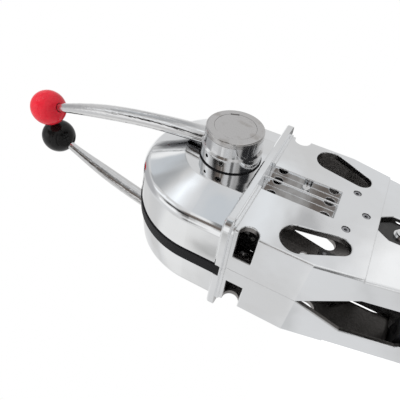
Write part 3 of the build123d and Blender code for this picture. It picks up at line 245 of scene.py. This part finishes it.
def make_camera():
    data = bpy.data.cameras.new("camera")
    data.sensor_fit = "HORIZONTAL"
    data.sensor_width = SENSOR_WIDTH
    data.lens = CAMERA_LENS
    data.clip_start = CAMERA_NEAREST
    camera = bpy.data.objects.new("camera", data)
    bpy.context.scene.collection.objects.link(camera)
    back = -CAMERA_FORWARD.normalized()
    up = back.cross(CAMERA_RIGHT).normalized()
    right = up.cross(back)
    turn = Matrix((right, up, back)).transposed().to_4x4()
    camera.matrix_world = Matrix.Translation(CAMERA_PLACE) @ turn
    bpy.context.scene.camera = camera


def unplated(tree):
    """1 on the frame's inner faces and the walls of its openings, 0 where it is plated."""
    x, y, z = tree.place()
    away = tree.math("ABSOLUTE", x)
    aside = tree.math("ABSOLUTE", y)
    taper = tree.math("MULTIPLY", tree.math("SUBTRACT", z, WALL_KINK), WALL_TAPER)
    wall = tree.math("ADD", tree.math("MINIMUM", taper, 0.0), WALL_HALF)
    step = (PLATE_STEP_HEIGHT - EDGE_BLEND, PLATE_STEP_HEIGHT + EDGE_BLEND)
    plate = tree.ramp(z, step, to=(PLATE_HALF - PLATE_STEP, PLATE_HALF))
    under_wall = tree.math("SUBTRACT", wall, away)
    under_plate = tree.math("SUBTRACT", plate, aside)
    deep = tree.ramp(tree.math("MINIMUM", under_wall, under_plate), SKIN_DEPTH)
    inside = tree.math("MULTIPLY", deep, tree.ramp(z, SKIN_TOP))
    off_channel = tree.math(
        "MAXIMUM", tree.above(away, CHANNEL_HALF), tree.below(aside, CHANNEL_FLOOR)
    )
    off_channel = tree.math("MAXIMUM", off_channel, tree.below(z, CHANNEL_FOOT))
    return tree.math("MULTIPLY", inside, off_channel)


def chrome_casting(tree):
    """Bright plating over a smoothed casting, and the dull skin of the casting inside."""
    raw = unplated(tree)
    waves = tree.noise(scale=24.0, detail=2.0)
    grain = tree.noise(scale=900.0, detail=2.0)
    haze = tree.ramp(tree.noise(scale=24.0, detail=4.0), (0.45, 0.75))
    skin = tree.noise(scale=420.0, detail=4.0)
    plated = tree.mix(haze, colour(0.87, 0.88, 0.89), colour(0.82, 0.825, 0.83))
    dull = tree.mix(skin, colour(0.21, 0.20, 0.193), colour(0.34, 0.325, 0.315))
    normal = tree.rounded(EDGE_RADIUS)
    normal = tree.bump(waves, strength=0.13, distance=0.004, normal=normal)
    normal = tree.bump(grain, strength=0.015, distance=0.0004, normal=normal)
    relief = tree.math("MULTIPLY", raw, SKIN_RELIEF)
    normal = tree.bump(skin, strength=relief, distance=0.0005, normal=normal)
    bright = tree.ramp(haze, (0.0, 1.0), to=(0.03, 0.075))
    return {
        "Base Color": tree.mix(raw, plated, dull),
        "Metallic": 1.0,
        "Roughness": tree.math("ADD", bright, tree.math("MULTIPLY", raw, SKIN_ROUGHER)),
        "Normal": normal,
    }


def dome_shade(tree):
    """1 on a lever's side that lies close over the dome, where it gets painted shade, 0
    elsewhere.
    """
    place = tree.place()
    normal = tree.add("ShaderNodeTexCoord").outputs["Normal"]
    outward = tree.math("MULTIPLY", tree.math("SIGN", place["Y"]), tree.dot(normal, (0, 1, 0)))
    return tree.math(
        "MULTIPLY", tree.ramp(outward, FACING_DOME), tree.ramp(place["Z"], DOME_REACH)
    )


def polished_steel(tree):
    """Polished bar: fine lines along its length, with painted shade and more roughness on its
    side close over the dome.
    """
    lines = tree.noise(scale=1400.0, detail=2.0, stretch=(1.0, 1.0, 0.02))
    waves = tree.noise(scale=30.0, detail=2.0)
    streaks = tree.noise(scale=520.0, detail=2.0, stretch=(1.0, 1.0, 0.03))
    relief = tree.ramp(tree.place()["Z"], ARM_START, to=(0.0, STREAK_RELIEF))
    normal = tree.bump(lines, strength=0.05, distance=0.0004)
    normal = tree.bump(streaks, strength=relief, distance=0.0006, normal=normal)
    normal = tree.bump(waves, strength=0.06, distance=0.002, normal=normal)
    # Mask of the painted shade, and of the added roughness, on the lever's side close over the
    # dome
    dull = dome_shade(tree)
    polished = tree.mix(lines, colour(0.80, 0.80, 0.80), colour(0.70, 0.70, 0.705))
    bright = tree.ramp(lines, (0.3, 0.7), to=(0.05, 0.10))
    return {
        # Painted shade: a near-black grey in place of the polished tone on the side close over
        # the dome
        "Base Color": tree.mix(dull, polished, colour(0.24, 0.24, 0.245)),
        "Metallic": 1.0,
        "Roughness": tree.math("ADD", bright, tree.math("MULTIPLY", dull, DULL_ROUGHER)),
        "Normal": normal,
    }


def satin_steel(tree):
    """Turned face with a soft sheen and a few faint stains."""
    grain = tree.noise(scale=1500.0, detail=3.0)
    stains = tree.ramp(tree.noise(scale=110.0, detail=3.0), (0.52, 0.72))
    return {
        "Base Color": tree.mix(stains, colour(0.60, 0.59, 0.585), colour(0.50, 0.48, 0.465)),
        "Metallic": 1.0,
        "Roughness": tree.ramp(grain, (0.25, 0.75), to=(0.14, 0.22)),
        "Normal": tree.bump(grain, strength=0.05, distance=0.0002),
    }


def plain_steel(tree):
    """Zinc plated steel with a mottled tone."""
    spots = tree.noise(scale=260.0, detail=4.0)
    return {
        "Base Color": tree.mix(spots, colour(0.50, 0.50, 0.50), colour(0.62, 0.61, 0.58)),
        "Metallic": 1.0,
        "Roughness": tree.ramp(spots, (0.2, 0.8), to=(0.20, 0.38)),
        "Normal": tree.bump(spots, strength=0.1, distance=0.0003),
    }


def dark_steel(tree):
    """Blackened steel with a thin film of oil."""
    spots = tree.noise(scale=180.0, detail=4.0)
    waves = tree.noise(scale=70.0, detail=2.0)
    return {
        "Base Color": tree.mix(spots, colour(0.045, 0.045, 0.047), colour(0.10, 0.098, 0.095)),
        "Metallic": 1.0,
        "Roughness": tree.ramp(spots, (0.2, 0.8), to=(0.16, 0.30)),
        "Normal": tree.bump(waves, strength=0.15, distance=0.002),
    }


def spring_steel(tree):
    """Darker steel with a faint blue cast, for springs, clips and the plate screws."""
    spots = tree.noise(scale=420.0, detail=3.0)
    return {
        "Base Color": tree.mix(spots, colour(0.32, 0.32, 0.34), colour(0.42, 0.42, 0.43)),
        "Metallic": 1.0,
        "Roughness": tree.ramp(spots, (0.2, 0.8), to=(0.2, 0.34)),
    }


def bronze(tree):
    """Bronze of the bushes, paler in spots."""
    spots = tree.noise(scale=300.0, detail=4.0)
    return {
        "Base Color": tree.mix(spots, colour(0.50, 0.33, 0.13), colour(0.62, 0.43, 0.20)),
        "Metallic": 1.0,
        "Roughness": tree.ramp(spots, (0.2, 0.8), to=(0.25, 0.45)),
    }


def black_rubber(tree):
    """Moulded rubber with a fine grain and a faint bloom."""
    grain = tree.noise(scale=1600.0, detail=3.0)
    bloom = tree.noise(scale=60.0, detail=3.0)
    return {
        "Base Color": tree.mix(bloom, colour(0.004, 0.004, 0.005), colour(0.010, 0.010, 0.011)),
        "Roughness": tree.ramp(grain, (0.2, 0.8), to=(0.38, 0.58)),
        "Specular IOR Level": 0.12,
        "Normal": tree.bump(grain, strength=0.25, distance=0.0002),
    }


def friction_lining(tree):
    """Brown brake lining with pale flecks."""
    flecks = tree.noise(scale=900.0, detail=4.0)
    return {
        "Base Color": tree.mix(flecks, colour(0.06, 0.04, 0.03), colour(0.22, 0.16, 0.11)),
        "Roughness": 0.85,
        "Normal": tree.bump(flecks, strength=0.4, distance=0.0003),
    }


def ball_plastic(tone, deeper):
    """Glossy moulded plastic in a colour, with a faint moulding wave."""

    def build(tree):
        waves = tree.noise(scale=60.0, detail=2.0)
        grain = tree.noise(scale=700.0, detail=3.0)
        return {
            "Base Color": tree.mix(tree.ramp(waves, (0.3, 0.7)), tone, deeper),
            "Roughness": tree.ramp(grain, (0.2, 0.8), to=(0.10, 0.14)),
            "Specular IOR Level": 0.25,
            "Normal": tree.bump(waves, strength=0.03, distance=0.002),
        }

    return build


def black_plastic(tree):
    """Matt moulded plastic of the switch and the cable clamps."""
    grain = tree.noise(scale=1200.0, detail=3.0)
    return {
        "Base Color": tree.mix(grain, colour(0.012, 0.012, 0.013), colour(0.03, 0.03, 0.031)),
        "Roughness": tree.ramp(grain, (0.2, 0.8), to=(0.38, 0.55)),
        "Normal": tree.bump(grain, strength=0.3, distance=0.0002),
    }


FINISHES = {
    "chrome_casting": chrome_casting,
    "polished_steel": polished_steel,
    "satin_steel": satin_steel,
    "plain_steel": plain_steel,
    "dark_steel": dark_steel,
    "spring_steel": spring_steel,
    "bronze": bronze,
    "black_rubber": black_rubber,
    "friction_lining": friction_lining,
    "red_knob": ball_plastic(colour(0.80, 0.028, 0.048), colour(0.72, 0.022, 0.040)),
    "black_knob": ball_plastic(colour(0.004, 0.004, 0.004), colour(0.008, 0.008, 0.008)),
    "black_plastic": black_plastic,
}


def material(name, build):
    """Material whose nodes are added by a function that returns its Principled inputs."""
    made = bpy.data.materials.new(name)
    made.use_nodes = True
    tree = Nodes(made.node_tree)
    shader = tree.add("ShaderNodeBsdfPrincipled", build(tree))
    tree.add("ShaderNodeOutputMaterial", {"Surface": shader.outputs[0]})
    return made


def finish_of(subpart):
    for finish, endings in CLOSER_FINISHES.items():
        if subpart["node"].endswith(endings):
            return finish
    return subpart["material_slot"]


def dress_nodes():
    """Give each CAD node a material: that of its slot, or a closer one for a few of them."""
    materials = {name: material(name, build) for name, build in FINISHES.items()}
    for subpart in frame["record"]["subparts"]:
        mesh = nodes[subpart["node"]].data
        mesh.materials.clear()
        mesh.materials.append(materials[finish_of(subpart)])


def mirrored_room(tree):
    """Tone of the room in each direction: clouded walls with the cards over them."""
    toward = tree.add("ShaderNodeTexCoord").outputs["Generated"]
    rise = tree.math("ARCSINE", tree.dot(toward, (0, 0, 1)))
    clouds = tree.ramp(tree.noise(scale=2.2, detail=3.0, place=toward), (0.35, 0.65))
    room = tree.mix(clouds, colour(*WALL_TONE), colour(*WALL_CLOUDS))
    for azimuth, elevation, width, height, soft, tone in CARDS:
        turn = radians(azimuth)
        ahead = tree.dot(toward, (cos(turn), sin(turn), 0))
        aside = tree.dot(toward, (-sin(turn), cos(turn), 0))
        across = tree.math("ABSOLUTE", tree.math("ARCTAN2", aside, ahead))
        above = tree.math("ABSOLUTE", tree.math("SUBTRACT", rise, radians(elevation)))
        share = tree.math(
            "MULTIPLY",
            tree.ramp(across, (radians(width + soft), radians(width - soft))),
            tree.ramp(above, (radians(height + soft), radians(height - soft))),
        )
        room = tree.mix(share, room, colour(*tone))
    return room


def make_world():
    """White to the camera, an even light on all that is dull, and the room to metal."""
    world = bpy.data.worlds.new("studio")
    bpy.context.scene.world = world
    world.use_nodes = True
    tree = Nodes(world.node_tree)
    rays = tree.add("ShaderNodeLightPath").outputs
    backdrop = tree.glow("ShaderNodeBackground", WHITE, 1.0)
    mirrored = tree.glow("ShaderNodeBackground", mirrored_room(tree), 1.0)
    lighting = tree.glow("ShaderNodeBackground", colour(*ROOM_TONE), ROOM_LIGHT)
    unseen = tree.choose(rays["Is Glossy Ray"], lighting, mirrored)
    shown = tree.choose(rays["Is Camera Ray"], unseen, backdrop)
    tree.add("ShaderNodeOutputWorld", {"Surface": shown})


def make_floor():
    """Pale floor just under the frame's foot, white where it is lit; metal doesn't mirror it."""
    height = cad_box[0][2] - FLOOR_GAP
    bpy.ops.mesh.primitive_plane_add(size=FLOOR_SIZE, location=(0, 0, height))
    floor = bpy.context.object
    floor.name = "floor"
    made = bpy.data.materials.new("floor")
    made.use_nodes = True
    tree = Nodes(made.node_tree)
    rays = tree.add("ShaderNodeLightPath").outputs
    pale = colour(FLOOR_TONE, FLOOR_TONE, FLOOR_TONE)
    lit = tree.add("ShaderNodeBsdfDiffuse", {"Color": pale}).outputs[0]
    glow = tree.glow("ShaderNodeEmission", WHITE, FLOOR_GLOW)
    clear = tree.add("ShaderNodeBsdfTransparent").outputs[0]
    whiter = tree.add("ShaderNodeAddShader", {0: lit, 1: glow}).outputs[0]
    seen = tree.choose(rays["Is Camera Ray"], lit, whiter)
    shown = tree.choose(rays["Is Glossy Ray"], seen, clear)
    tree.add("ShaderNodeOutputMaterial", {"Surface": shown})
    floor.data.materials.append(made)


def soft_lamp(name, place, size, power):
    """Square area lamp at a place, aimed at the flange; metal mirrors the room, not the lamp."""
    data = bpy.data.lights.new(name, "AREA")
    data.size = size
    data.energy = power
    lamp = bpy.data.objects.new(name, data)
    bpy.context.scene.collection.objects.link(lamp)
    lamp.location = place
    lamp.rotation_euler = (-Vector(place)).to_track_quat("-Z", "Y").to_euler()
    lamp.visible_glossy = False


make_camera()
make_world()
make_floor()
for lamp_settings in LAMPS:
    soft_lamp(*lamp_settings)
dress_nodes()

bpy.context.scene.view_settings.view_transform = "Standard"
